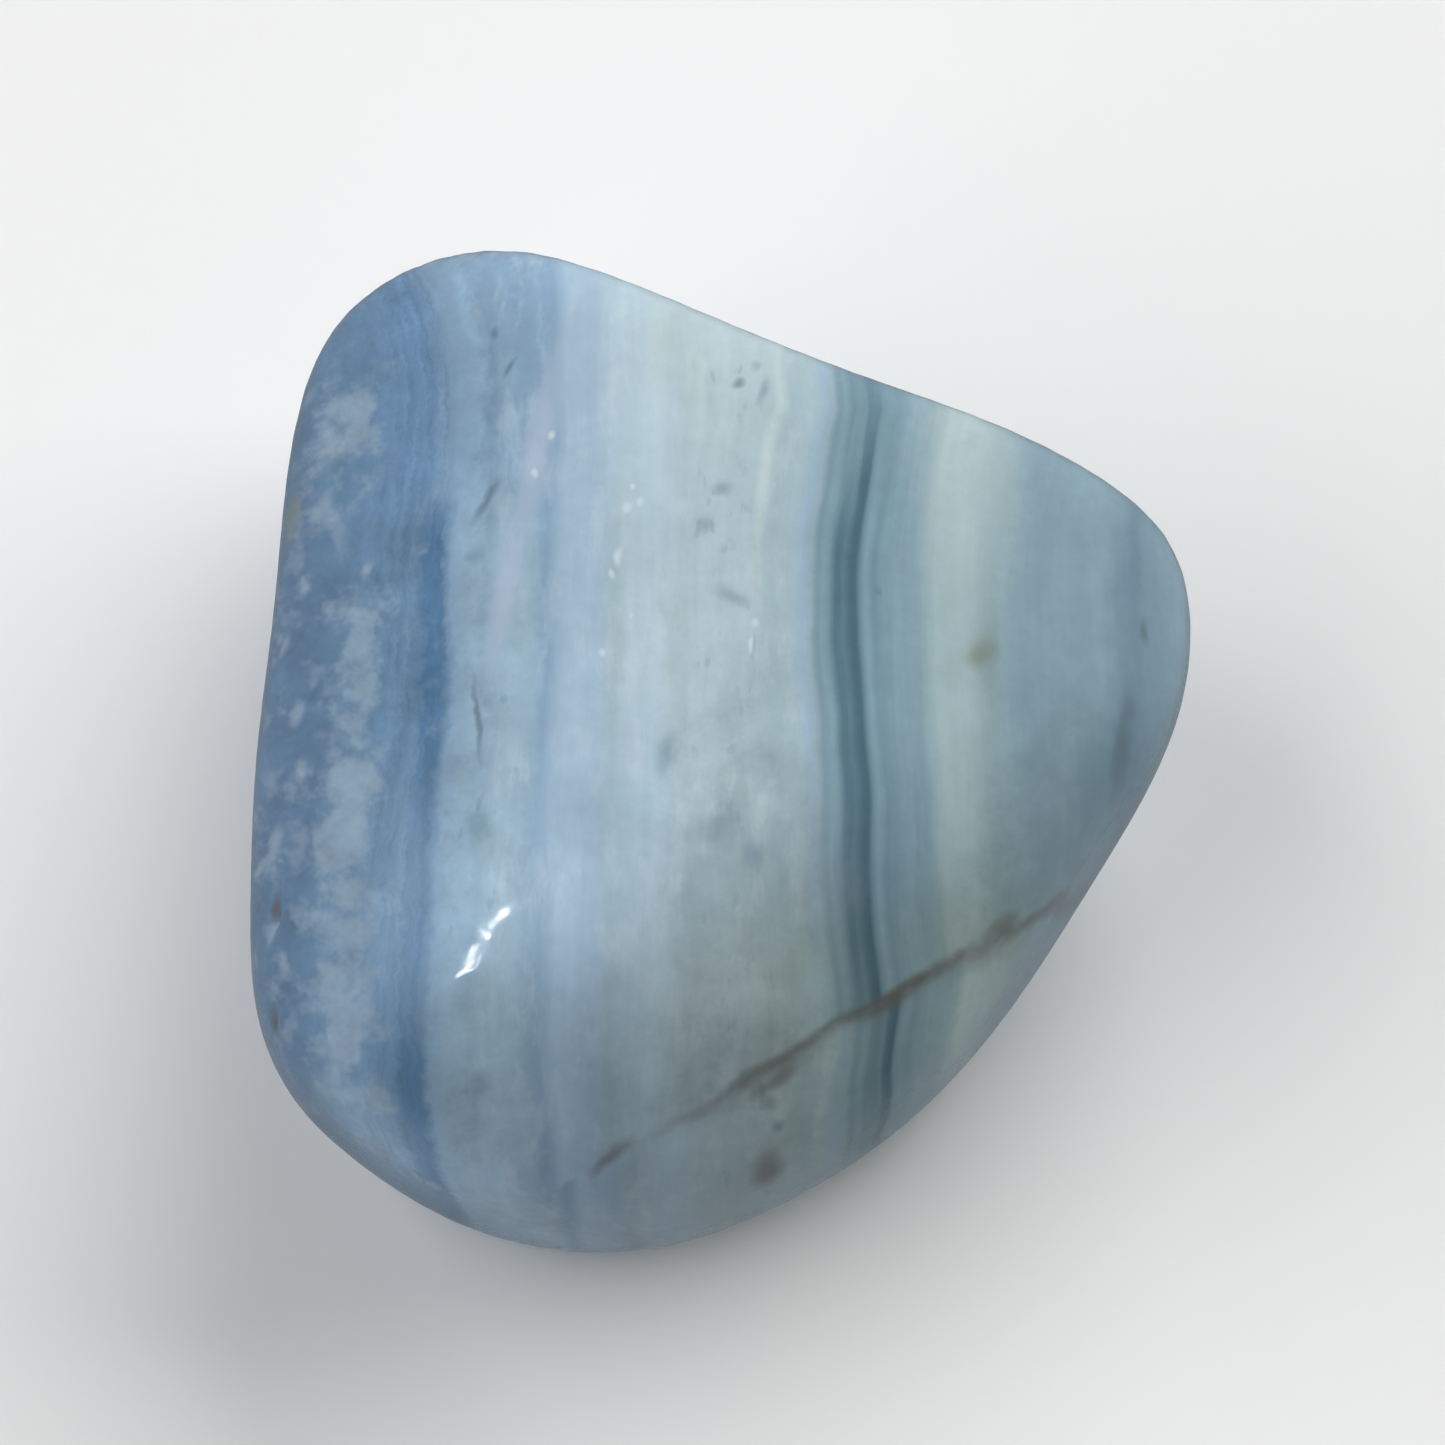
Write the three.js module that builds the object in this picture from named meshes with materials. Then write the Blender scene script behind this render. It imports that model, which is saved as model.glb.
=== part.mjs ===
// A tumbled and polished blue lace agate: one pebble of banded chalcedony.
// Units are millimetres and +Z is up. The stone lies on its flat worn face at z = 0, with the
// middle of its outline over x = 0, y = 0. Its longest way runs along Y.
import * as THREE from 'three';
import { mergeVertices } from 'three/addons/utils/BufferGeometryUtils.js';

// The stone was a broken block before tumbling wore it round. Each face here is one flat side
// of that block: azimuth turns from +X towards +Y, elevation rises from level towards +Z, both
// in degrees, and distance is how far the side lies from the stone's core, in millimetres.
const SIDE_FACES = [
  { name: 'left side', azimuth: 178, elevation: 0, distance: 13.6 },
  { name: 'back left corner', azimuth: 148, elevation: 0, distance: 22.0 },
  { name: 'back left shoulder', azimuth: 105, elevation: 8, distance: 19.4 },
  { name: 'long back side', azimuth: 66, elevation: 16, distance: 13.1 },
  { name: 'nose, back', azimuth: 30, elevation: 6, distance: 18.45 },
  { name: 'nose, front', azimuth: 0, elevation: 0, distance: 15.35 },
  { name: 'front right side', azimuth: -36, elevation: -5, distance: 11.65 },
  { name: 'front side, right', azimuth: -62, elevation: -10, distance: 13.0 },
  { name: 'front side, middle', azimuth: -95, elevation: -12, distance: 14.7 },
  { name: 'front side, left', azimuth: -126, elevation: -8, distance: 15.7 },
  { name: 'front left corner', azimuth: -160, elevation: 0, distance: 16.0 },
];
const UPPER_FACES = [
  { name: 'broad top', azimuth: 90, elevation: 86, distance: 9.2 },
  { name: 'left slope', azimuth: 172, elevation: 45, distance: 11.1 },
  { name: 'front slope', azimuth: -78, elevation: 36, distance: 13.3 },
  { name: 'front right slope', azimuth: -45, elevation: 52, distance: 12.0 },
  { name: 'right slope', azimuth: 5, elevation: 58, distance: 12.9 },
];
const LOWER_FACES = [
  { name: 'underside', azimuth: 0, elevation: -90, distance: 8.05 },
  { name: 'lower left', azimuth: 180, elevation: -45, distance: 12.5 },
  { name: 'lower back left', azimuth: 125, elevation: -42, distance: 17.0 },
  { name: 'lower back', azimuth: 60, elevation: -42, distance: 13.5 },
  { name: 'lower nose', azimuth: 10, elevation: -42, distance: 13.5 },
  { name: 'lower front right', azimuth: -60, elevation: -45, distance: 13.2 },
  { name: 'lower front left', azimuth: -120, elevation: -45, distance: 16.6 },
];
const FACES = [...SIDE_FACES, ...UPPER_FACES, ...LOWER_FACES];

// Height of the core over the surface that the stone lies on.
const CORE_HEIGHT = 8.0;

// How crisp the edges between the faces stayed. Large values leave a sharp block, and 2 would
// wear it down to a ball.
const EDGE_SHARPNESS = 15;

// Tumbling leaves faces that are very slightly wavy instead of dead flat. Each wave runs along
// its own direction, and length is the distance from crest to crest.
const WAVE_HEIGHT = 0.05;
const WAVES = [
  { azimuth: 25, elevation: 20, length: 13 },
  { azimuth: 100, elevation: -15, length: 10.5 },
  { azimuth: 150, elevation: 55, length: 9 },
];

// The surface starts as an icosahedron whose every edge is split into this many pieces.
const EDGE_SPLITS = 15;

const STONE_COLOR = 0x9fb6c9;
const STONE_ROUGHNESS = 0.12;

function unitVector({ azimuth, elevation }) {
  const turn = THREE.MathUtils.degToRad(azimuth);
  const rise = THREE.MathUtils.degToRad(elevation);
  return new THREE.Vector3(
    Math.cos(rise) * Math.cos(turn),
    Math.cos(rise) * Math.sin(turn),
    Math.sin(rise),
  );
}

const faceNormals = FACES.map(unitVector);
const waveDirections = WAVES.map(unitVector);

// Distance from the core to the rounded block along a direction. Each face that the direction
// meets takes its share, and the nearest face has nearly all of it away from the edges.
function blockRadius(direction) {
  let sum = 0;
  FACES.forEach((face, i) => {
    const facing = Math.max(0, faceNormals[i].dot(direction));
    sum += (facing / face.distance) ** EDGE_SHARPNESS;
  });
  return sum ** (-1 / EDGE_SHARPNESS);
}

function waveOffset(point) {
  let offset = 0;
  WAVES.forEach((wave, i) => {
    const phase = (2 * Math.PI * point.dot(waveDirections[i])) / wave.length;
    offset += WAVE_HEIGHT * Math.sin(phase);
  });
  return offset;
}

// Point of the stone's surface along a direction from the core. The underside stops at the
// plane that the stone lies on, so it has a truly flat face there.
function surfacePoint(direction) {
  const blockPoint = direction.clone().multiplyScalar(blockRadius(direction));
  const wornRadius = blockPoint.length() + waveOffset(blockPoint);
  const planeRadius = direction.z < 0 ? CORE_HEIGHT / -direction.z : Infinity;
  return direction.clone().multiplyScalar(Math.min(wornRadius, planeRadius));
}

function stoneGeometry() {
  const ball = new THREE.IcosahedronGeometry(1, EDGE_SPLITS - 1);
  ball.deleteAttribute('normal');
  ball.deleteAttribute('uv');
  const geometry = mergeVertices(ball);
  const positions = geometry.getAttribute('position');
  const direction = new THREE.Vector3();
  for (let i = 0; i < positions.count; i += 1) {
    direction.fromBufferAttribute(positions, i).normalize();
    const point = surfacePoint(direction);
    positions.setXYZ(i, point.x, point.y, point.z + CORE_HEIGHT);
  }
  geometry.computeBoundingBox();
  const middle = geometry.boundingBox.getCenter(new THREE.Vector3());
  geometry.translate(-middle.x, -middle.y, 0);
  geometry.computeVertexNormals();
  return geometry;
}

function agateStone() {
  const material = new THREE.MeshStandardMaterial({
    color: STONE_COLOR,
    roughness: STONE_ROUGHNESS,
    metalness: 0,
  });
  const stone = new THREE.Mesh(stoneGeometry(), material);
  stone.name = 'agate_stone';
  return stone;
}

const blueLaceAgate = new THREE.Group();
blueLaceAgate.name = 'blue_lace_agate';
blueLaceAgate.add(agateStone());

export default blueLaceAgate;
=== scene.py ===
"""A tumbled and polished blue lace agate on a pale floor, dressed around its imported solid."""
import math

import bmesh
import bpy
import numpy as np
from mathutils import Matrix, Vector


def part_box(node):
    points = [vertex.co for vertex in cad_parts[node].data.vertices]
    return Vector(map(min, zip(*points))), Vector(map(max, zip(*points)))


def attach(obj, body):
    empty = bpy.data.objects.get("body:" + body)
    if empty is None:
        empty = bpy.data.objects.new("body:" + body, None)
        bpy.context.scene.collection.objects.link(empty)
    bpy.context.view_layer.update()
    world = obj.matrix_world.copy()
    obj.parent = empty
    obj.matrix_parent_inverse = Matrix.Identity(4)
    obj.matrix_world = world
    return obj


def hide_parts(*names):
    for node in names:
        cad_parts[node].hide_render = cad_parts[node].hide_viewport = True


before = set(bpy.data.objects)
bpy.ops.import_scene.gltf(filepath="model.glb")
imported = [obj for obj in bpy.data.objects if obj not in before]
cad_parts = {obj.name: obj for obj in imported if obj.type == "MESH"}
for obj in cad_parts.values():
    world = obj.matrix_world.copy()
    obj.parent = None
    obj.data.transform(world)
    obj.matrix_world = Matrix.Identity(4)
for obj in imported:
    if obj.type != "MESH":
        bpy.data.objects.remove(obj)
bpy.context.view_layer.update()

STONE_NODE = "agate_stone"
STONE_PIECE = "polished_stone"
STONE_SLOT = "banded_chalcedony"
MM = 0.001

stone_low, stone_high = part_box(STONE_NODE)
stone_middle = (stone_low + stone_high) / 2

# The camera stands in front of the stone and looks steeply down on it.
CAMERA_AZIMUTH = -90.0
CAMERA_ELEVATION = 64.0
CAMERA_DISTANCE = 140 * MM
FRAME_WIDTH_AT_STONE = 44.3 * MM
SENSOR_WIDTH_MM = 36.0
CLIP_START = 5 * MM
CLIP_END = 10000 * MM

# Two big soft lights stand low on the left and at the back right: azimuth and elevation in
# degrees, and strength in watts per square metre. Their width is an angle in degrees. A dim
# dome fills in the rest, and below the horizon it stands for the floor in the stone's
# reflections. The dome's light is red, green and blue radiance, and it changes between the two
# heights of the horizon fade, where 0 is level and 1 is straight up.
SOFT_LIGHTS = [
    (183.0, 30.0, 2.42),
    (45.0, 26.0, 3.68),
]
SOFT_LIGHT_WIDTH = 80.0
DOME_LIGHT = (0.10, 0.10, 0.10)
DOME_LIGHT_BELOW = (0.17, 0.195, 0.22)
DOME_HORIZON_FADE = (0.1, -0.1)

# Small strip lamps lie level above the stone, and their reflections make the streaky glint on
# the front left corner: middle along X and along Y, width along X, length along Y, and
# radiance. All lengths are millimetres.
GLINT_HEIGHT = 313
GLINT_STRIPS = [
    (-104, -26, 8, 40, 26.0),
    (-99, -72, 8, 46, 26.0),
    (-90, -94, 10, 14, 26.0),
    (-77, -66, 8, 44, 12.0),
    (-70, 16, 14, 20, 28.0),
    (-85, 24, 10, 16, 14.0),
    (-61, 42, 7, 12, 22.0),
    (-57, 60, 7, 18, 34.0),
    (-80, -10, 46, 130, 1.6),
]

FLOOR_SIZE = 1600 * MM
FLOOR_COLOR = (0.86, 0.86, 0.86)
FLOOR_ROUGHNESS = 0.9
FLOOR_SHINE = 0.1

# The stone's fine mesh: how often the solid's faces are split, and then how often and how far
# each point moves towards the middle of its neighbours.
WELD_DISTANCE = 0.001 * MM
SUBDIVISIONS = 2
SMOOTH_PASSES = 10
SMOOTH_SHARE = 0.5

# Small open pits in the polished skin: middle, radius and depth, in millimetres. A softness
# above 1 lets their rims run smoothly into the skin.
PITS = [
    ((-13.05, -8.0, 12.0), 0.42, 0.22),
    ((-12.95, -11.0, 11.6), 0.38, 0.24),
    ((-0.27, 3.55, 16.87), 0.22, 0.08),
    ((0.15, -8.3, 17.5), 0.20, 0.07),
]
PIT_RIM_SOFTNESS = 1.5

# The polish: its roughness and how far that swings from place to place, and the width and
# height of the faint waves left in it, in millimetres.
ROUGHNESS = 0.085
ROUGHNESS_SWING = 0.06
SKIN_WAVE_WIDTH = 1.3
SKIN_WAVE_HEIGHT = 0.009
CHALCEDONY_IOR = 1.54

# Colours as seen, in sRGB from 0 to 255.
PALETTE = {
    "deep_blue": (81, 115, 149),
    "clear_blue": (90, 117, 146),
    "mid_blue": (98, 129, 158),
    "cold_blue": (100, 132, 165),
    "soft_blue": (124, 151, 175),
    "milky": (136, 157, 175),
    "pearl": (164, 177, 191),
    "line_blue": (132, 160, 184),
    "pale_blue": (139, 165, 185),
    "pale_grey": (149, 175, 192),
    "hazy_blue": (150, 175, 195),
    "lavender": (160, 184, 203),
    "lilac": (174, 187, 207),
    "frost": (174, 196, 207),
    "chalk": (190, 208, 210),
    "sage_white": (170, 190, 197),
    "sage": (160, 182, 190),
    "dull_sage": (138, 158, 165),
    "cream_line": (187, 205, 204),
    "cream": (159, 181, 185),
    "mist": (145, 169, 180),
    "grey_mist": (131, 157, 168),
    "green_mist": (140, 164, 170),
    "dim_mist": (131, 157, 169),
    "dull_mist": (112, 130, 138),
    "soft_steel": (128, 156, 169),
    "steel": (120, 148, 161),
    "slate": (112, 141, 157),
    "teal_grey": (100, 129, 144),
    "band_streak": (92, 121, 136),
    "band_edge": (85, 114, 129),
    "dark_teal": (76, 105, 121),
    "slate_blue": (113, 138, 154),
    "white": (205, 217, 223),
    "dark_speck": (88, 106, 116),
    "crack_brown": (96, 96, 90),
    "olive_brown": (118, 124, 108),
    "rust": (92, 88, 86),
}

# The bands from left to right: a place along X in millimetres, and the colour there. Two
# places close together make a sharp edge.
LEFT_BANDS = [
    (-16.0, "mid_blue"),
    (-14.0, "clear_blue"),
    (-12.2, "clear_blue"),
    (-10.8, "mid_blue"),
    (-9.0, "mid_blue"),
    (-8.65, "deep_blue"),
    (-8.25, "deep_blue"),
    (-7.85, "line_blue"),
    (-7.4, "pale_blue"),
    (-6.8, "pale_blue"),
    (-6.4, "pale_grey"),
    (-5.7, "pale_grey"),
    (-5.15, "line_blue"),
    (-4.65, "lavender"),
    (-3.6, "lavender"),
    (-3.1, "sage"),
    (-2.7, "frost"),
    (-2.0, "frost"),
]
RIGHT_BANDS = [
    (-2.0, "frost"),
    (-1.4, "sage_white"),
    (0.6, "sage_white"),
    (1.3, "sage"),
    (1.9, "sage"),
    (2.3, "pale_grey"),
    (2.55, "mist"),
    (2.72, "steel"),
    (2.93, "soft_steel"),
    (3.08, "steel"),
    (3.2, "teal_grey"),
    (3.3, "band_edge"),
    (3.44, "band_edge"),
    (3.55, "band_streak"),
    (3.67, "band_edge"),
    (3.82, "dark_teal"),
    (3.92, "dark_teal"),
    (4.06, "slate"),
    (4.2, "soft_steel"),
    (4.43, "slate"),
    (4.65, "steel"),
    (5.05, "soft_steel"),
    (5.65, "grey_mist"),
    (6.2, "cream"),
    (7.0, "cream"),
    (7.7, "green_mist"),
    (8.7, "dim_mist"),
    (11.0, "dim_mist"),
    (12.1, "slate_blue"),
    (13.6, "dim_mist"),
]
BAND_SPLIT = -2.0

# Towards the back corner the left bands run into each other. The change is spread from one
# place along Y to another, and its front is ragged by this many millimetres.
BACK_LEFT_BANDS = [
    (-16.0, "mid_blue"),
    (-13.4, "clear_blue"),
    (-12.4, "mid_blue"),
    (-9.8, "cold_blue"),
    (-8.9, "cold_blue"),
    (-8.1, "soft_blue"),
    (-7.4, "line_blue"),
    (-6.9, "soft_blue"),
    (-6.2, "line_blue"),
    (-5.0, "line_blue"),
    (-4.6, "lavender"),
    (-3.8, "lavender"),
    (-3.0, "frost"),
    (-2.0, "frost"),
]
BACK_FADE = (1.0, 6.0)
BACK_FADE_RAGGEDNESS = 9.0

# A thin cream line in the pale middle, which fades in towards the back: its place among the
# bands, its width to either side, from where to where along Y it fades in, and its share.
CREAM_LINE_BAND = 0.95
CREAM_LINE_WIDTH = 0.28
CREAM_LINE_FADE = (-2.0, 4.0)
CREAM_LINE_SHARE = 0.6
CREAM_LINE_SWING = 1.0

# The dark band narrows to a thin core towards both its ends, and its core pales at the back.
# The rim and the reach are distances from the band's middle, the fades run along Y, and each
# loss is the share of the dark colour that is gone where its fade ends.
DARK_BAND_MIDDLE = 3.80
DARK_BAND_RIM = (0.08, 0.28)
DARK_BAND_REACH = (0.75, 0.55)
RIM_FADE_BACK = (1.5, 5.5)
RIM_FADE_FRONT = (-9.5, -12.5)
CORE_FADE_BACK = (3.5, 8.0)
RIM_LOSS_BACK = 0.85
RIM_LOSS_FRONT = 0.60
CORE_LOSS_BACK = 0.65

# How the layers bend away from upright sheets that run front to back, to the right where the
# number is above 0. A start is where a swing begins, and the swing is its factor times the
# square of the way from there. A pair is from where to where a bend sets in. Places and bends
# are millimetres.
RIGHT_HALF = (-3.0, 2.5)
BACK_SWING_START = 0.5
BACK_SWING = 0.021
BACK_SWING_MOST = 0.8
CORNER_SWING_START = 8.0
CORNER_SWING = -0.04
CORNER_ACROSS = (-4.0, -8.0)
FRONT_SWING_START = -1.0
FRONT_SWING = 0.0048
LEFT_BEND = -0.30
LEFT_BEND_ALONG = (-5.0, -8.5)
LEFT_BEND_ACROSS = (-5.0, -7.0)

# Below this height the layers of the left half lean in to the right, by this much for each
# millimetre down.
LEAN_TOP = 15.0
LEAN = 0.07
LEAN_ACROSS = (2.0, -8.0)

# The shared noises: the width of their lumps, and how far each shifts the layers from one end
# of its swing to the other, in millimetres. A wave of the left half comes on top there.
BROAD_LUMPS = 5.0
MIDDLING_LUMPS = 1.5
FINE_LUMPS = 0.45
BROAD_WAVE = 0.7
MIDDLING_WAVE = 0.08
MIDDLING_WAVE_LEFT = 0.42
MIDDLING_WAVE_ACROSS = (-3.0, -8.0)
FINE_WAVE_LEFT = 0.5
FINE_WAVE_ACROSS = (-4.0, -7.0)

# The fine patterns come from noises of their own: how many lumps they have to a millimetre
# across the bands, along Y and up, or the width of their lumps in millimetres.
FIBRES_PER_MM = (4.2, 0.24, 0.24)
BROAD_FIBRES_PER_MM = (1.0, 0.12, 0.12)
THREADS_PER_MM = (3.0, 1.1, 1.1)
WISP_WIDTHS = (0.7, 2.6, 1.6)
GRAIN_WIDTH = 1.0

# From which value of its noise a pattern begins to show, and from which it shows in full. The
# threads also stand in groups, by the broad shared noise.
WISP_EDGE = (0.48, 0.72)
GRAIN_EDGE = (0.52, 0.72)
THREAD_EDGE = (0.60, 0.72)
THREAD_GROUP_EDGE = (0.45, 0.58)

# Where among the bands the patterns show: the left edge and the right edge of each, both from
# where nothing shows to where it shows in full. The two sides have a right edge alone.
LEFT_FIBRES = ((-11.5, -9.5), (-7.9, -8.4))
DARK_BAND_FIBRES = ((2.0, 3.0), (6.5, 5.0))
WISPS = ((-7.9, -6.0), (2.6, 1.6))
GRAINS = ((-15.0, -14.0), (-11.0, -12.2))
LEFT_THREADS = ((-7.7, -7.3), (-5.6, -6.3))
MIDDLE_THREADS = ((-1.2, -0.7), (1.3, 0.8))
MILKY_SIDE = (-8.0, -8.5)
MOTTLED_SIDE = (-4.5, -7.5)

# How strongly the patterns show: how far they swing the brightness, or the share of their own
# colour. What is named for one place comes on top there.
FIBRE_SWING = 0.14
FIBRE_SWING_LEFT = 0.65
FIBRE_SWING_DARK_BAND = 0.15
BROAD_FIBRE_SWING = 0.22
MOTTLING = 0.26
MOTTLING_LEFT = 0.50
BROAD_MOTTLING = 0.16
FINE_MOTTLING = 0.14
WISP_SHARE = 0.25
MILKY_SHARE = 0.85
GRAIN_SHARE = 0.30
THREAD_SHARE = 0.30
MIDDLE_THREAD_STRENGTH = 0.8

# A patch begins this many of its radii from its middle, and is full from the second value in.
# The noises make the edges of the coloured patches ragged, by these shares of their radii.
PATCH_EDGE = (1.3, 0.2)
PATCH_MIDDLING_RAGGEDNESS = 1.0
PATCH_BROAD_RAGGEDNESS = 0.8

# Broad soft patches where every band turns towards one colour: middle, radii, colour and share.
# The chalk patch at the back of the middle is partly painted light, and the dull patches are
# partly painted shade, darkening the middle and the slopes at the front and right.
BROAD_PATCHES = [
    ((-0.4, 9.2, 16.2), (3.6, 5.0, 3.0), "chalk", 0.23),
    ((7.2, 4.8, 15.8), (1.8, 5.0, 3.0), "chalk", 0.40),
    ((-9.0, -9.4, 15.6), (1.5, 4.6, 3.5), "soft_blue", 0.75),
    ((-3.4, -8.4, 17.3), (3.2, 5.0, 3.0), "hazy_blue", 0.45),
    ((-4.6, -12.6, 15.6), (2.8, 2.6, 3.2), "line_blue", 0.25),
    ((0.6, -12.8, 13.8), (2.6, 1.8, 2.2), "dull_mist", 0.40),
    ((1.0, -8.3, 17.0), (2.7, 4.8, 3.4), "dull_sage", 0.60),
    ((0.8, -3.8, 17.0), (2.2, 3.4, 3.0), "dull_sage", 0.30),
    ((9.8, -6.6, 13.6), (2.6, 3.6, 3.5), "dull_mist", 0.45),
    ((7.0, -9.2, 14.0), (1.8, 2.2, 2.6), "dull_mist", 0.30),
    ((-10.2, -15.0, 11.5), (2.2, 2.6, 3.6), "milky", 0.45),
]

# Painted light: places painted lighter, standing in for light let through the stone and falling
# on it, and one soft painted sheen at the front left: middle, radii and gain.
PAINTED_LIGHT_PATCHES = [
    ((-6.4, -11.0, 16.0), (3.6, 3.8, 5.0), 1.18),
    ((-4.0, -11.0, 16.6), (2.0, 3.2, 3.0), 1.10),
    ((-9.8, -15.6, 10.0), (2.8, 2.8, 5.5), 1.35),
    ((-6.6, 12.2, 13.9), (2.8, 3.6, 4.0), 1.16),
    ((4.2, -13.4, 11.0), (1.8, 2.0, 2.6), 1.10),
    ((7.0, -4.8, 16.0), (1.6, 2.4, 2.4), 1.09),
]

# Painted shade: the slope at the front is painted greener and then darker where it turns away
# from the light, and darker again at its foot: from where to where along Y and along X, how far
# the fade begins earlier for each millimetre to the right, and how much of its red, green and
# blue is left there.
FRONT_PAINTED_SHADES = [
    ((-9.5, -12.0), (-1.5, 2.0), 0.35, (0.95, 0.93, 0.85)),
    ((-11.6, -14.6), (-6.6, -2.2), 0.08, (0.73, 0.75, 0.77)),
    ((-14.7, -15.7), (-7.5, -5.5), 0.08, (0.89, 0.89, 0.90)),
]

# Cloudy patterns: how far they lean to the front for each millimetre up, and how tall their
# lumps are against their width.
CLOUD_LEAN = 0.45
CLOUD_TALLNESS = 4.0

# The milky clouds of the translucent left side: the width of their lumps, how much the noise
# swings their amount, the amount with no cloud near, and the amounts where they begin to show
# and show in full. They gather in a few places: middle, radii and strength.
MILKY_LUMPS = 1.3
MILKY_SWING = 4.2
MILKY_REST = -0.55
MILKY_EDGE = (-0.35, 0.75)
MILKY_CLOUDS = [
    ((-11.8, 8.4, 11.6), (2.2, 3.4, 3.2), 0.98),
    ((-10.8, -0.2, 13.3), (1.3, 3.2, 2.6), 1.02),
    ((-10.8, -6.0, 14.0), (1.5, 4.4, 2.8), 1.30),
    ((-10.6, -12.0, 14.0), (1.5, 4.6, 3.6), 1.20),
    ((-13.4, -4.0, 8.0), (2.4, 8.0, 4.5), 0.30),
]

# Spots and threads on the skin: middle, radii across and along, and the heading of the long
# way in degrees from +X towards +Y. All lengths are millimetres.
DARK_MARKS = [
    ((-6.87, 9.71, 15.62), (0.13, 0.17), 90),
    ((-6.40, 8.25, 16.04), (0.08, 0.30), 62),
    ((-6.95, 3.66, 16.23), (0.13, 0.68), 62),
    ((-7.04, -3.90, 16.95), (0.07, 1.05), 96),
    ((0.50, 7.54, 16.56), (0.12, 0.20), 62),
    ((4.49, 0.27, 17.06), (0.11, 0.14), 90),
    ((1.37, -14.15, 12.68), (0.20, 0.26), 90),
    ((1.63, -14.51, 11.82), (0.16, 0.22), 90),
    ((11.72, -3.45, 14.40), (0.24, 1.45), 82),
    ((12.45, 0.20, 14.50), (0.12, 0.36), 82),
]
FAINT_MARKS = [
    ((12.30, 2.40, 14.60), (0.12, 1.40), 90),
    ((11.00, -4.60, 14.40), (0.65, 1.20), 82),
    ((1.00, 8.25, 16.43), (0.13, 0.17), 90),
    ((1.25, 7.30, 16.45), (0.12, 0.40), 82),
    ((0.05, 3.74, 16.85), (0.20, 0.22), 90),
    ((-0.54, 2.46, 16.94), (0.24, 0.24), 90),
    ((0.32, 0.04, 17.10), (0.22, 0.46), 150),
    ((-6.95, 6.50, 16.05), (0.12, 0.45), 96),
    ((-7.20, 1.75, 16.37), (0.24, 0.30), 82),
    ((-6.85, -7.40, 17.33), (0.30, 0.45), 90),
    ((-6.80, -14.37, 14.95), (0.25, 0.35), 90),
    ((-0.04, -7.46, 17.54), (0.36, 0.50), 62),
    ((0.84, -8.38, 17.42), (0.28, 0.40), 90),
    ((-1.60, -5.20, 17.40), (0.25, 0.60), 82),
]
CREAM_MARKS = [
    ((-1.90, 9.10, 16.20), (0.28, 2.40), 90),
    ((-0.60, 7.60, 16.50), (0.12, 1.60), 90),
]
OLIVE_MARKS = [
    ((7.50, -1.62, 16.91), (0.38, 0.50), 62),
    ((-13.43, 6.81, 9.20), (0.40, 0.80), 90),
]
RUST_MARKS = [
    ((1.32, -15.00, 9.70), (0.42, 1.05), 90),
    ((-13.05, -7.60, 12.00), (0.20, 0.30), 90),
    ((-12.95, -11.00, 11.60), (0.22, 0.32), 90),
]
# Lilac streaks along the left ridge: partly a milky streak of the stone and partly a painted
# sheen.
LILAC_STREAK_AND_SHEEN_MARKS = [
    ((-5.45, 5.30, 16.60), (0.40, 3.30), 82),
    ((-6.30, 0.60, 16.90), (0.35, 2.60), 82),
]
PEARL_MARKS = [
    ((-13.20, 1.73, 10.41), (0.28, 0.32), 90),
    ((-12.64, -1.21, 11.59), (0.26, 0.40), 90),
    ((-12.40, -3.30, 12.10), (0.24, 0.34), 90),
    ((-13.15, -5.30, 11.45), (0.28, 0.44), 90),
    ((-13.00, -8.35, 11.85), (0.34, 0.30), 90),
    ((-10.75, 2.90, 13.40), (0.24, 0.20), 90),
]
# White flecks on the top and the left ridge: partly white specks of the stone and partly painted
# sparkles of highlight.
WHITE_FLECK_AND_SPARKLE_MARKS = [
    ((-2.78, 3.00, 16.90), (0.14, 0.17), 90),
    ((-2.38, 3.20, 16.90), (0.12, 0.15), 90),
    ((-3.02, 1.35, 17.00), (0.12, 0.28), 82),
    ((-2.60, 3.75, 16.88), (0.08, 0.12), 90),
    ((-3.25, 0.75, 17.03), (0.08, 0.16), 90),
    ((-2.62, -0.60, 17.08), (0.07, 0.13), 90),
    ((-3.45, -1.85, 17.15), (0.08, 0.11), 90),
    ((0.98, -0.85, 17.15), (0.12, 0.16), 82),
    ((0.85, -1.60, 17.20), (0.07, 0.30), 82),
    ((-5.08, 5.65, 16.62), (0.11, 0.14), 90),
    ((-5.52, 4.35, 16.70), (0.10, 0.15), 90),
]

# The healed crack is a wavy plane through the stone: a point on it, its normal, and the width
# and height of its waves, in millimetres.
CRACK_POINT = (1.57, -12.99, 13.26)
CRACK_NORMAL = (-0.505, 0.815, 0.283)
CRACK_WAVE_WIDTH = 2.8
CRACK_WAVE = 1.1

# In front of the crack the bands are shifted to the right, and close to it by the kink more.
# The pairs are distances from the crack, negative in front of it.
CRACK_SIDE = (0.05, -0.05)
CRACK_SHIFT = 0.20
CRACK_KINK = 0.30
CRACK_KINK_EDGE = (-1.8, -0.2)

# The crack's brown line, whose width swings with a noise, and the dull halo along it, all as
# distances from the crack in millimetres. Both fade out towards its end, from where to where
# along X, and their darkness swings with the noises.
CRACK_HALF_WIDTH = 0.10
CRACK_WIDTH_SWING = 0.30
CRACK_LINE_EDGE = (0.22, -0.12)
CRACK_HALO = ((-0.6, -0.05), (0.3, 0.0))
CRACK_END = (-2.8, -0.6)
CRACK_DARKNESS = 0.60
CRACK_DARKNESS_SWING = 1.2
CRACK_HALO_SHARE = 0.35
CRACK_LINE_SHARE = 0.9

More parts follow.
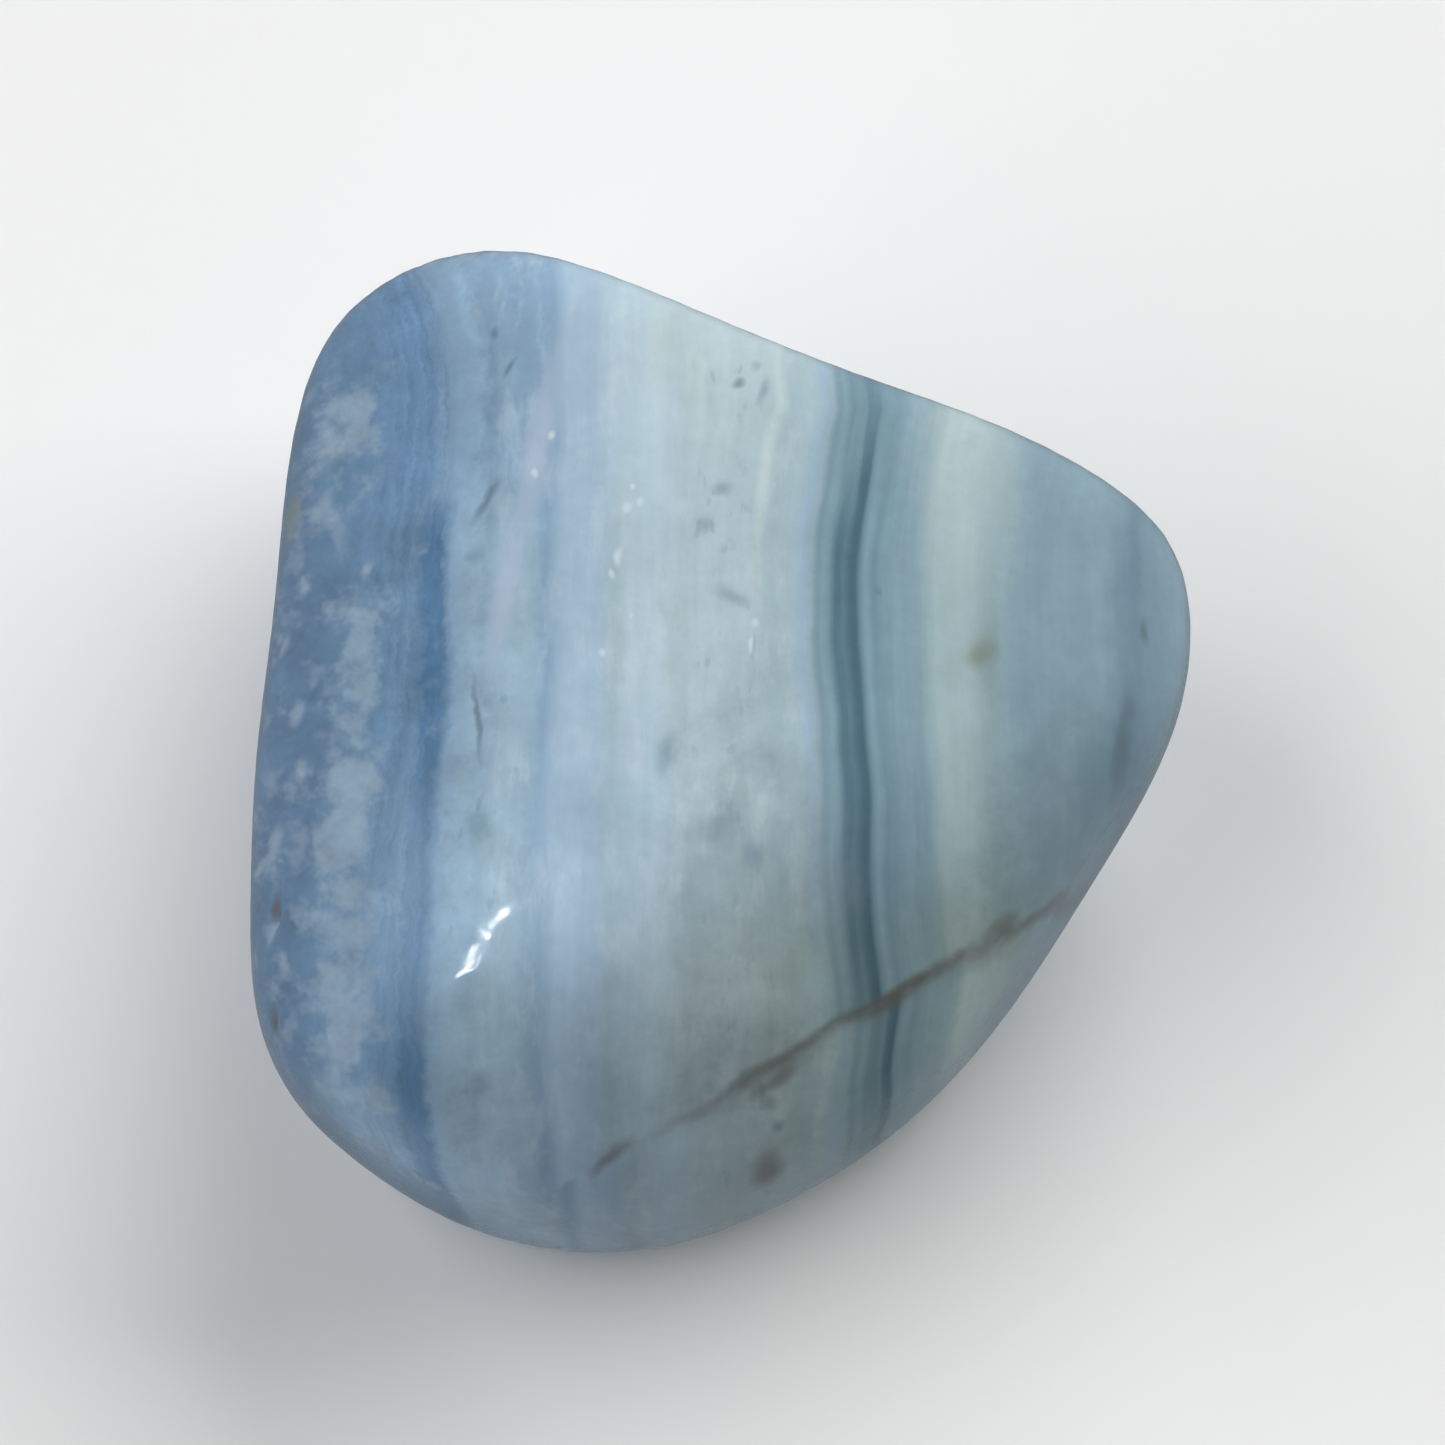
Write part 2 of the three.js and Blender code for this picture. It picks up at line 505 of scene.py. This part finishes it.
# The crack is darkest in a few places, and the last of them stands alone beyond its end.
CRACK_MARKS = [
    ((8.10, -8.80, 13.35), (0.16, 0.60), 38),
    ((4.70, -11.45, 14.10), (0.14, 0.70), 33),
    ((1.55, -13.50, 13.30), (0.15, 0.70), 33),
    ((-3.20, -15.40, 12.13), (0.12, 0.72), 33),
]

# How the marks are laid on, lowest layer first: the marks, their colour, its share in their
# middle, and how soft their edges are, from 0 for a hard edge to 1.
MARK_LAYERS = [
    (LILAC_STREAK_AND_SHEEN_MARKS, "lilac", 0.55, 0.7),
    (CREAM_MARKS, "cream_line", 0.45, 0.9),
    (PEARL_MARKS, "pearl", 0.55, 0.9),
    (FAINT_MARKS, "teal_grey", 0.48, 0.95),
    (OLIVE_MARKS, "olive_brown", 0.68, 0.95),
    (CRACK_MARKS, "crack_brown", 0.65, 0.85),
    (RUST_MARKS, "rust", 0.75, 0.8),
    (DARK_MARKS, "dark_speck", 0.65, 0.85),
    (WHITE_FLECK_AND_SPARKLE_MARKS, "white", 0.75, 0.7),
]

# The marks' outlines stray by a noise: the width of its lumps and its reach, in millimetres.
STRAY_LUMPS = 0.8
STRAY_REACH = 0.35

# The colour mixing node has sockets for several kinds of value. These are the ones for colour.
MIX_SHARE = 0
MIX_FIRST = 6
MIX_SECOND = 7
MIX_RESULT = 2


def direction(azimuth, elevation):
    """Unit vector from angles in degrees, azimuth from +X towards +Y."""
    turn = math.radians(azimuth)
    rise = math.radians(elevation)
    level = math.cos(rise)
    return Vector((level * math.cos(turn), level * math.sin(turn), math.sin(rise)))


def linear_share(value):
    """Linear light of one sRGB value from 0 to 255, by the sRGB standard's own curve."""
    share = value / 255
    return share / 12.92 if share <= 0.04045 else ((share + 0.055) / 1.055) ** 2.4


def opaque(color):
    """A colour of three numbers with full opacity as its fourth."""
    return (*color, 1.0)


def paint(name):
    """Linear colour of a palette name."""
    return opaque(linear_share(value) for value in PALETTE[name])


class Graph:
    """Adds nodes to a node tree. Each call returns the new node's output, ready to be used."""

    def __init__(self, tree):
        self.tree = tree

    def node(self, kind):
        return self.tree.nodes.new(kind)

    def feed(self, socket, value):
        if isinstance(value, bpy.types.NodeSocket):
            self.tree.links.new(value, socket)
        else:
            socket.default_value = value

    def math(self, operation, a, b=0.0, c=0.0):
        node = self.node("ShaderNodeMath")
        node.operation = operation
        for socket, value in zip(node.inputs, (a, b, c)):
            self.feed(socket, value)
        return node.outputs[0]

    def least(self, *values):
        smallest = values[0]
        for value in values[1:]:
            smallest = self.math("MINIMUM", smallest, value)
        return smallest

    def add(self, *values):
        total = values[0]
        for value in values[1:]:
            total = self.math("ADD", total, value)
        return total

    def subtract(self, a, b):
        return self.math("SUBTRACT", a, b)

    def multiply(self, *values):
        product = values[0]
        for value in values[1:]:
            product = self.math("MULTIPLY", product, value)
        return product

    def above(self, value, limit):
        """How far a value lies above a limit, and 0 below it."""
        return self.math("MAXIMUM", self.subtract(value, limit), 0.0)

    def below(self, value, limit):
        """How far a value lies below a limit, and 0 above it."""
        return self.math("MAXIMUM", self.subtract(limit, value), 0.0)

    def between(self, value, left_edge, right_edge):
        """1 between two soft edges and 0 outside them."""
        return self.multiply(self.smooth(value, *left_edge), self.smooth(value, *right_edge))

    def sway(self, noise, reach):
        """Turns a noise from 0 to 1 into a swing of up to half the reach either way."""
        return self.math("MULTIPLY_ADD", noise, reach, -reach / 2)

    def vector(self, operation, *values):
        node = self.node("ShaderNodeVectorMath")
        node.operation = operation
        for socket, value in zip(node.inputs, values):
            self.feed(socket, value)
        is_number = operation in ("DOT_PRODUCT", "LENGTH")
        return node.outputs["Value"] if is_number else node.outputs["Vector"]

    def scale(self, vector, factor):
        node = self.node("ShaderNodeVectorMath")
        node.operation = "SCALE"
        self.feed(node.inputs[0], vector)
        self.feed(node.inputs["Scale"], factor)
        return node.outputs[0]

    def turn(self, vector, degrees):
        """Turns a vector about +Z."""
        node = self.node("ShaderNodeVectorRotate")
        node.rotation_type = "Z_AXIS"
        self.feed(node.inputs["Vector"], vector)
        node.inputs["Angle"].default_value = math.radians(degrees)
        return node.outputs[0]

    def split(self, vector):
        node = self.node("ShaderNodeSeparateXYZ")
        self.feed(node.inputs[0], vector)
        return node.outputs[0], node.outputs[1], node.outputs[2]

    def join(self, x, y, z):
        node = self.node("ShaderNodeCombineXYZ")
        for socket, value in zip(node.inputs, (x, y, z)):
            self.feed(socket, value)
        return node.outputs[0]

    def smooth(self, value, low, high, full=1.0):
        """0 up to low, full from high on, and a soft step in between. low may be the larger."""
        node = self.node("ShaderNodeMapRange")
        node.interpolation_type = "SMOOTHSTEP"
        flipped = low > high
        self.feed(node.inputs["Value"], value)
        node.inputs["From Min"].default_value = min(low, high)
        node.inputs["From Max"].default_value = max(low, high)
        node.inputs["To Min"].default_value = full if flipped else 0.0
        node.inputs["To Max"].default_value = 0.0 if flipped else full
        return node.outputs[0]

    def noise(self, vector, detail=2.0, roughness=0.5):
        node = self.node("ShaderNodeTexNoise")
        self.feed(node.inputs["Vector"], vector)
        node.inputs["Scale"].default_value = 1.0
        node.inputs["Detail"].default_value = detail
        node.inputs["Roughness"].default_value = roughness
        return node.outputs[0]

    def noise_vector(self, vector):
        """Three noises at once, as a vector."""
        node = self.node("ShaderNodeTexNoise")
        self.feed(node.inputs["Vector"], vector)
        node.inputs["Scale"].default_value = 1.0
        node.inputs["Detail"].default_value = 2.0
        return node.outputs["Color"]

    def ramp(self, place, bands):
        """Colour of the band at a place, from a list of (place, palette name)."""
        first, last = bands[0][0], bands[-1][0]
        node = self.node("ShaderNodeValToRGB")
        self.feed(node.inputs[0], self.multiply(self.subtract(place, first), 1 / (last - first)))
        stops = node.color_ramp.elements
        while len(stops) < len(bands):
            stops.new(0.5)
        for stop, (where, name) in zip(stops, bands):
            stop.position = (where - first) / (last - first)
            stop.color = paint(name)
        return node.outputs[0]

    def mix(self, share, a, b):
        node = self.node("ShaderNodeMix")
        node.data_type = "RGBA"
        self.feed(node.inputs[MIX_SHARE], share)
        self.feed(node.inputs[MIX_FIRST], a)
        self.feed(node.inputs[MIX_SECOND], b)
        return node.outputs[MIX_RESULT]


def leaning(g, place, lump_size):
    """Coordinates for a cloudy pattern whose lumps stand up tall and lean to the front."""
    x, y, z = g.split(place)
    leaning_y = g.add(y, g.multiply(z, CLOUD_LEAN))
    upright = g.join(x, leaning_y, g.multiply(z, 1 / CLOUD_TALLNESS))
    return g.scale(upright, 1 / lump_size)


class Noises:
    """The noises that several parts of the pattern share, by the size of their lumps."""

    def __init__(self, g, place):
        self.broad = g.noise(g.scale(place, 1 / BROAD_LUMPS), detail=1.5)
        self.middling = g.noise(leaning(g, place, MIDDLING_LUMPS), detail=4.0, roughness=0.68)
        self.fine = g.noise(g.scale(place, 1 / FINE_LUMPS), detail=2.0, roughness=0.6)


def crack_distance(g, place):
    """Distance from the crack's wavy plane, positive behind it, in millimetres."""
    waviness = g.noise(g.scale(place, 1 / CRACK_WAVE_WIDTH), detail=3.0, roughness=0.55)
    flat = g.vector("DOT_PRODUCT", g.vector("SUBTRACT", place, CRACK_POINT), CRACK_NORMAL)
    return g.add(flat, g.sway(waviness, CRACK_WAVE))


def layer_swing(g, x, y, z):
    """How far a layer lies to the right of where it would lie as an upright flat sheet.

    In the right half the layers swing to the right at the back and at the front, and in the
    left half they swing to the left there. Lower down those of the left half lean in.
    """
    right_half = g.smooth(x, *RIGHT_HALF)
    back = g.above(y, BACK_SWING_START)
    back_swing = g.least(g.multiply(back, back, BACK_SWING), BACK_SWING_MOST)
    corner = g.above(y, CORNER_SWING_START)
    corner_swing = g.multiply(corner, corner, CORNER_SWING, g.smooth(x, *CORNER_ACROSS))
    front = g.below(y, FRONT_SWING_START)
    front_swing = g.multiply(front, front, FRONT_SWING, right_half)
    at_front_left = g.multiply(g.smooth(y, *LEFT_BEND_ALONG), g.smooth(x, *LEFT_BEND_ACROSS))
    left_bend = g.multiply(at_front_left, LEFT_BEND)
    lower_lean = g.multiply(g.below(z, LEAN_TOP), LEAN, g.smooth(x, *LEAN_ACROSS))
    right_back_swing = g.multiply(back_swing, right_half)
    return g.add(right_back_swing, corner_swing, front_swing, left_bend, lower_lean)


def crack_shift(g, behind_crack):
    """How far the bands in front of the crack sit to the right."""
    in_front = g.smooth(behind_crack, *CRACK_SIDE)
    kink = g.multiply(g.smooth(behind_crack, *CRACK_KINK_EDGE), CRACK_KINK)
    return g.multiply(in_front, g.add(kink, CRACK_SHIFT))


def band_place(g, place, noises, behind_crack):
    """Which layer of the stone a point lies in, as that layer's place along X in millimetres."""
    x, y, z = g.split(place)
    left_unevenness = g.multiply(g.smooth(x, *MIDDLING_WAVE_ACROSS), MIDDLING_WAVE_LEFT)
    unevenness = g.add(left_unevenness, MIDDLING_WAVE)
    broad_wave = g.sway(noises.broad, BROAD_WAVE)
    middling_wave = g.multiply(g.sway(noises.middling, 1.0), unevenness)
    fine_wave = g.multiply(g.sway(noises.fine, FINE_WAVE_LEFT), g.smooth(x, *FINE_WAVE_ACROSS))
    swing = g.add(layer_swing(g, x, y, z), crack_shift(g, behind_crack))
    return g.subtract(x, g.add(swing, broad_wave, middling_wave, fine_wave))


def band_color(g, band, place, noises):
    """Colour of the bands alone."""
    _, y, _ = g.split(place)
    uneven_y = g.add(y, g.sway(noises.broad, BACK_FADE_RAGGEDNESS))
    towards_back = g.smooth(uneven_y, *BACK_FADE)
    left = g.mix(towards_back, g.ramp(band, LEFT_BANDS), g.ramp(band, BACK_LEFT_BANDS))
    paleness = dark_band_paleness(g, band, y)
    right = g.mix(paleness, g.ramp(band, RIGHT_BANDS), paint("steel"))
    on_right = g.math("GREATER_THAN", band, BAND_SPLIT)
    return g.mix(on_right, left, right)


def dark_band_paleness(g, band, y):
    """How much of the dark band is lost towards its two ends."""
    off_middle = g.math("ABSOLUTE", g.subtract(band, DARK_BAND_MIDDLE))
    at_back = g.multiply(g.smooth(y, *RIM_FADE_BACK), RIM_LOSS_BACK)
    at_front = g.multiply(g.smooth(y, *RIM_FADE_FRONT), RIM_LOSS_FRONT)
    rim_loss = g.multiply(g.smooth(off_middle, *DARK_BAND_RIM), g.add(at_back, at_front))
    core_loss = g.multiply(g.smooth(y, *CORE_FADE_BACK), CORE_LOSS_BACK)
    in_band = g.smooth(off_middle, *DARK_BAND_REACH)
    return g.multiply(in_band, g.math("MAXIMUM", rim_loss, core_loss))


def fibres(g, band, place):
    """Brightness of the fine growth lines that follow the bands and fade in and out."""
    _, y, z = g.split(place)
    layered_place = g.join(band, y, z)
    fine = g.noise(g.vector("MULTIPLY", layered_place, FIBRES_PER_MM), detail=3.0, roughness=0.65)
    broad = g.noise(g.vector("MULTIPLY", layered_place, BROAD_FIBRES_PER_MM))
    on_left = g.multiply(g.between(band, *LEFT_FIBRES), FIBRE_SWING_LEFT)
    by_dark_band = g.multiply(g.between(band, *DARK_BAND_FIBRES), FIBRE_SWING_DARK_BAND)
    strength = g.add(on_left, by_dark_band, FIBRE_SWING)
    fine_swing = g.multiply(g.subtract(fine, 0.5), strength)
    return g.add(fine_swing, g.sway(broad, BROAD_FIBRE_SWING), 1.0)


def cream_line(g, color, band, place, noises):
    """Adds the thin cream line of the pale middle."""
    _, y, _ = g.split(place)
    distance = g.math("ABSOLUTE", g.subtract(band, CREAM_LINE_BAND))
    inside = g.smooth(distance, CREAM_LINE_WIDTH, 0.0)
    strength = g.add(g.sway(noises.broad, CREAM_LINE_SWING), CREAM_LINE_SHARE)
    share = g.multiply(inside, strength, g.smooth(y, *CREAM_LINE_FADE))
    return g.mix(share, color, paint("cream_line"))


def reach_in(g, place, middle, radii):
    """How far a point lies from a patch's middle: 0 there, 1 at the patch's radii."""
    squeeze = [1 / radius for radius in radii]
    shift = [-there / radius for there, radius in zip(middle, radii)]
    return g.vector("LENGTH", g.vector("MULTIPLY_ADD", place, squeeze, shift))


def broad_patches(g, color, place, noises):
    """Turns every band towards one colour in a few broad places."""
    middling_raggedness = g.sway(noises.middling, PATCH_MIDDLING_RAGGEDNESS)
    raggedness = g.add(middling_raggedness, g.sway(noises.broad, PATCH_BROAD_RAGGEDNESS))
    for middle, radii, name, share in BROAD_PATCHES:
        reach = g.add(reach_in(g, place, middle, radii), raggedness)
        color = g.mix(g.smooth(reach, *PATCH_EDGE, share), color, paint(name))
    return color


def painted_light_of_patches(g, place):
    """Brightness of the painted light in its patches, and 1 elsewhere."""
    total = 1.0
    for middle, radii, gain in PAINTED_LIGHT_PATCHES:
        reach = reach_in(g, place, middle, radii)
        total = g.add(total, g.smooth(reach, *PATCH_EDGE, gain - 1))
    return total


def mottling(g, band, noises):
    """Brightness of the faint clouds in every band, strongest in the left half."""
    strength = g.add(g.multiply(g.smooth(band, *MOTTLED_SIDE), MOTTLING_LEFT), MOTTLING)
    clouds = g.multiply(g.subtract(noises.middling, 0.5), strength)
    broad_clouds = g.sway(noises.broad, BROAD_MOTTLING)
    fine_clouds = g.sway(noises.fine, FINE_MOTTLING)
    return g.add(clouds, broad_clouds, fine_clouds, 1.0)


def wisps(g, band, place):
    """White wisps drawn out along the pale bands."""
    threads = g.noise(g.vector("DIVIDE", place, WISP_WIDTHS), detail=4.0, roughness=0.62)
    return g.multiply(g.smooth(threads, *WISP_EDGE), g.between(band, *WISPS))


def milkiness(g, band, place):
    """How much of the milky white shows in the translucent blue of the left side."""
    clouds = g.noise(leaning(g, place, MILKY_LUMPS), detail=3.0, roughness=0.6)
    gathering = 0.0
    for middle, radii, strength in MILKY_CLOUDS:
        reach = reach_in(g, place, middle, radii)
        gathering = g.add(gathering, g.smooth(reach, *PATCH_EDGE, strength))
    amount = g.add(g.sway(clouds, MILKY_SWING), gathering, MILKY_REST)
    return g.multiply(g.smooth(amount, *MILKY_EDGE), g.smooth(band, *MILKY_SIDE))


def soft_grains(g, band, place):
    """Soft pearly smudges near the left side."""
    grains = g.noise(leaning(g, place, GRAIN_WIDTH), detail=2.0)
    return g.multiply(g.smooth(grains, *GRAIN_EDGE), g.between(band, *GRAINS))


def dark_threads(g, band, place, noises):
    """Short dark threads strewn through the pale bands."""
    threads = g.noise(g.vector("MULTIPLY", place, THREADS_PER_MM), detail=2.0)
    pale_middle = g.multiply(g.between(band, *MIDDLE_THREADS), MIDDLE_THREAD_STRENGTH)
    inside = g.add(g.between(band, *LEFT_THREADS), pale_middle)
    grouped = g.smooth(noises.broad, *THREAD_GROUP_EDGE)
    return g.multiply(g.smooth(threads, *THREAD_EDGE), grouped, inside)


def turn_to_y(heading):
    """The turn about +Z, in degrees, that brings a mark's long way onto the Y axis."""
    return 90 - heading


def marks(g, turned_places, spots, share, softness):
    """The share inside the listed spots, 0 outside, with a soft edge."""
    reaches = []
    for middle, (across, along), heading in spots:
        turn = turn_to_y(heading)
        turned_middle = Matrix.Rotation(math.radians(turn), 3, "Z") @ Vector(middle)
        radii = (across, along, along)
        reaches.append(reach_in(g, turned_places[turn], turned_middle, radii))
    return g.smooth(g.least(*reaches), 1.0 + softness, 1.0 - softness, share)


def mark_layers(g, color, place):
    """Lays the spots and threads over the bands, each kind in its own colour."""
    stray_noise = g.noise_vector(g.scale(place, 1 / STRAY_LUMPS))
    stray = g.vector("SUBTRACT", stray_noise, (0.5, 0.5, 0.5))
    bent_place = g.vector("ADD", place, g.scale(stray, STRAY_REACH))
    turns = {turn_to_y(heading) for spots, _, _, _ in MARK_LAYERS for _, _, heading in spots}
    turned_places = {}
    for turn in sorted(turns):
        turned_places[turn] = g.turn(bent_place, turn) if turn else bent_place
    for spots, name, share, softness in MARK_LAYERS:
        color = g.mix(marks(g, turned_places, spots, share, softness), color, paint(name))
    return color


def crack_color(g, color, place, noises, behind_crack):
    """Adds the crack's brown line and its dull halo."""
    x, _, _ = g.split(place)
    distance = g.math("ABSOLUTE", behind_crack)
    half_width = g.add(g.sway(noises.middling, CRACK_WIDTH_SWING), CRACK_HALF_WIDTH)
    line = g.smooth(g.subtract(distance, half_width), *CRACK_LINE_EDGE)
    halo = g.between(behind_crack, *CRACK_HALO)
    broad_swing = g.sway(noises.broad, CRACK_DARKNESS_SWING)
    middling_swing = g.sway(noises.middling, CRACK_DARKNESS_SWING)
    darkness = g.add(broad_swing, middling_swing, CRACK_DARKNESS)
    shown = g.multiply(g.smooth(x, *CRACK_END), darkness)
    color = g.mix(g.multiply(halo, shown, CRACK_HALO_SHARE), color, paint("crack_brown"))
    return g.mix(g.multiply(line, shown, CRACK_LINE_SHARE), color, paint("crack_brown"))


def paint_front_shade(g, color, place):
    """Paints shade on the slope at the front, greener and darker."""
    x, y, _ = g.split(place)
    for along, across, lean, tint in FRONT_PAINTED_SHADES:
        leaning_y = g.subtract(y, g.multiply(x, lean))
        share = g.multiply(g.smooth(leaning_y, *along), g.smooth(x, *across))
        left_over = g.mix(share, (1.0, 1.0, 1.0, 1.0), opaque(tint))
        color = g.vector("MULTIPLY", color, left_over)
    return color


def mix_in(g, color, amount, share, name):
    """Mixes in a palette colour, with this share of it where the amount is 1."""
    return g.mix(g.multiply(amount, share), color, paint(name))


def agate_color(g, place, noises):
    """Colour of the stone at a point, built up from the bands to the marks on the skin."""
    behind_crack = crack_distance(g, place)
    band = band_place(g, place, noises, behind_crack)
    color = band_color(g, band, place, noises)
    color = cream_line(g, color, band, place, noises)
    color = broad_patches(g, color, place, noises)
    color = g.scale(color, fibres(g, band, place))
    color = mix_in(g, color, wisps(g, band, place), WISP_SHARE, "white")
    color = mix_in(g, color, milkiness(g, band, place), MILKY_SHARE, "milky")
    color = g.scale(color, mottling(g, band, noises))
    color = mix_in(g, color, soft_grains(g, band, place), GRAIN_SHARE, "pearl")
    color = mix_in(g, color, dark_threads(g, band, place, noises), THREAD_SHARE, "teal_grey")
    # Painted light in a few patches.
    color = g.scale(color, painted_light_of_patches(g, place))
    # Painted shade on the slope at the front.
    color = paint_front_shade(g, color, place)
    color = crack_color(g, color, place, noises, behind_crack)
    return mark_layers(g, color, place)


def skin_waves(g, place):
    """Surface direction with the faint waves that tumbling leaves in the polish."""
    waves = g.noise(g.scale(place, 1 / SKIN_WAVE_WIDTH), detail=2.0)
    bump = g.node("ShaderNodeBump")
    bump.inputs["Strength"].default_value = 1.0
    bump.inputs["Distance"].default_value = SKIN_WAVE_HEIGHT * MM
    g.feed(bump.inputs["Height"], waves)
    return bump.outputs[0]


def agate_material():
    """The stone's one material. Its pattern runs all through the stone."""
    material = bpy.data.materials.new(STONE_SLOT)
    material.use_nodes = True
    g = Graph(material.node_tree)
    shader = material.node_tree.nodes["Principled BSDF"]
    coordinates = g.node("ShaderNodeTexCoord").outputs["Object"]
    place = g.scale(coordinates, 1 / MM)
    noises = Noises(g, place)
    g.feed(shader.inputs["Base Color"], agate_color(g, place, noises))
    roughness = g.add(g.sway(noises.middling, ROUGHNESS_SWING), ROUGHNESS)
    g.feed(shader.inputs["Roughness"], roughness)
    g.feed(shader.inputs["Normal"], skin_waves(g, place))
    shader.inputs["IOR"].default_value = CHALCEDONY_IOR
    return material


def neighbour_average(points, edges):
    """Mean of each point's neighbours."""
    total = np.zeros_like(points)
    count = np.zeros(len(points))
    for near, far in ((0, 1), (1, 0)):
        np.add.at(total, edges[:, near], points[edges[:, far]])
        np.add.at(count, edges[:, near], 1)
    return total / count[:, None]


def read_vertices(mesh, name):
    """One three-number value of every vertex, such as its place (co) or its normal."""
    flat = np.zeros(len(mesh.vertices) * 3)
    mesh.vertices.foreach_get(name, flat)
    return flat.reshape(-1, 3)


def write_points(mesh, points):
    """Puts every vertex in its new place."""
    mesh.vertices.foreach_set("co", points.ravel())
    mesh.update()


def welded_surface():
    """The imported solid's surface as a mesh of its own, with its triangles joined."""
    welded = bmesh.new()
    welded.from_mesh(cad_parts[STONE_NODE].data)
    bmesh.ops.remove_doubles(welded, verts=welded.verts, dist=WELD_DISTANCE)
    mesh = bpy.data.meshes.new("coarse_stone")
    welded.to_mesh(mesh)
    welded.free()
    return mesh


def subdivided(coarse):
    """A rounder copy of a mesh, with its faces split. The coarse mesh is deleted."""
    holder = bpy.data.objects.new("coarse_stone", coarse)
    bpy.context.scene.collection.objects.link(holder)
    modifier = holder.modifiers.new("fine", "SUBSURF")
    modifier.levels = SUBDIVISIONS
    modifier.render_levels = SUBDIVISIONS
    evaluated = holder.evaluated_get(bpy.context.evaluated_depsgraph_get())
    mesh = bpy.data.meshes.new_from_object(evaluated)
    bpy.data.objects.remove(holder)
    bpy.data.meshes.remove(coarse)
    return mesh


def smooth_facets(mesh):
    """Evens the surface out so that no facet of the solid shows."""
    points = read_vertices(mesh, "co")
    edges = np.array([edge.vertices[:] for edge in mesh.edges])
    for _ in range(SMOOTH_PASSES):
        points += SMOOTH_SHARE * (neighbour_average(points, edges) - points)
    write_points(mesh, points)


def press_pits(mesh):
    """Sinks the small open pits into the skin."""
    points = read_vertices(mesh, "co")
    normals = read_vertices(mesh, "normal")
    for middle, radius, depth in PITS:
        reach = np.linalg.norm(points - np.array(middle) * MM, axis=1) / (radius * MM)
        bowl = np.clip(1 - reach ** 2, 0, 1) ** PIT_RIM_SOFTNESS
        points -= normals * (bowl * depth * MM)[:, None]
    write_points(mesh, points)


def build_stone():
    """The one visible piece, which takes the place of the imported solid."""
    mesh = subdivided(welded_surface())
    smooth_facets(mesh)
    press_pits(mesh)
    mesh.name = STONE_PIECE
    mesh.materials.clear()
    mesh.materials.append(agate_material())
    for polygon in mesh.polygons:
        polygon.use_smooth = True
    stone = bpy.data.objects.new(STONE_PIECE, mesh)
    bpy.context.scene.collection.objects.link(stone)
    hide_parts(STONE_NODE)
    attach(stone, "root")


def floor_material():
    material = bpy.data.materials.new("pale_floor")
    material.use_nodes = True
    shader = material.node_tree.nodes["Principled BSDF"]
    shader.inputs["Base Color"].default_value = opaque(FLOOR_COLOR)
    shader.inputs["Roughness"].default_value = FLOOR_ROUGHNESS
    shader.inputs["Specular IOR Level"].default_value = FLOOR_SHINE
    return material


def build_floor():
    """The floor is hidden from reflections, where the dome below the horizon stands for it."""
    mesh = bpy.data.meshes.new("floor")
    half = FLOOR_SIZE / 2
    corners = [(-half, -half, 0), (half, -half, 0), (half, half, 0), (-half, half, 0)]
    mesh.from_pydata(corners, [], [(0, 1, 2, 3)])
    mesh.materials.append(floor_material())
    floor = bpy.data.objects.new("floor", mesh)
    floor.visible_glossy = False
    bpy.context.scene.collection.objects.link(floor)


def build_soft_lights():
    """The wide lights, hidden from reflections so that they leave no veil on the polish."""
    for number, (azimuth, elevation, strength) in enumerate(SOFT_LIGHTS, start=1):
        light = bpy.data.lights.new(f"soft_light_{number}", "SUN")
        light.angle = math.radians(SOFT_LIGHT_WIDTH)
        light.energy = strength
        holder = bpy.data.objects.new(light.name, light)
        holder.rotation_euler = direction(azimuth, elevation).to_track_quat("Z", "Y").to_euler()
        holder.visible_glossy = False
        bpy.context.scene.collection.objects.link(holder)


def build_dome():
    """The dim light from all around, one colour above the horizon and another below it."""
    world = bpy.data.worlds.new("studio_dome")
    world.use_nodes = True
    bpy.context.scene.world = world
    g = Graph(world.node_tree)
    background = world.node_tree.nodes["Background"]
    _, _, height = g.split(g.node("ShaderNodeTexCoord").outputs["Generated"])
    below = g.smooth(height, *DOME_HORIZON_FADE)
    light = g.mix(below, opaque(DOME_LIGHT), opaque(DOME_LIGHT_BELOW))
    g.feed(background.inputs["Color"], light)
    background.inputs["Strength"].default_value = 1.0


def build_glint():
    """The strips show in reflections alone and add no light of their own."""
    for number, (x, y, width, length, radiance) in enumerate(GLINT_STRIPS, start=1):
        lamp = bpy.data.lights.new(f"glint_{number}", "AREA")
        lamp.shape = "RECTANGLE"
        lamp.size = width * MM
        lamp.size_y = length * MM
        lamp.energy = radiance * math.pi * lamp.size * lamp.size_y
        holder = bpy.data.objects.new(lamp.name, lamp)
        holder.location = Vector((x, y, GLINT_HEIGHT)) * MM
        holder.visible_diffuse = False
        bpy.context.scene.collection.objects.link(holder)


def build_camera():
    """The camera looks at the middle of the stone from the photo's angle and distance."""
    camera = bpy.data.cameras.new("camera")
    camera.sensor_width = SENSOR_WIDTH_MM
    camera.lens = SENSOR_WIDTH_MM * CAMERA_DISTANCE / FRAME_WIDTH_AT_STONE
    camera.clip_start = CLIP_START
    camera.clip_end = CLIP_END
    holder = bpy.data.objects.new("camera", camera)
    towards_camera = direction(CAMERA_AZIMUTH, CAMERA_ELEVATION)
    holder.location = stone_middle + towards_camera * CAMERA_DISTANCE
    holder.rotation_euler = towards_camera.to_track_quat("Z", "Y").to_euler()
    bpy.context.scene.collection.objects.link(holder)
    bpy.context.scene.camera = holder


bpy.context.scene.view_settings.view_transform = "Standard"
build_camera()
build_floor()
build_soft_lights()
build_dome()
build_glint()
build_stone()
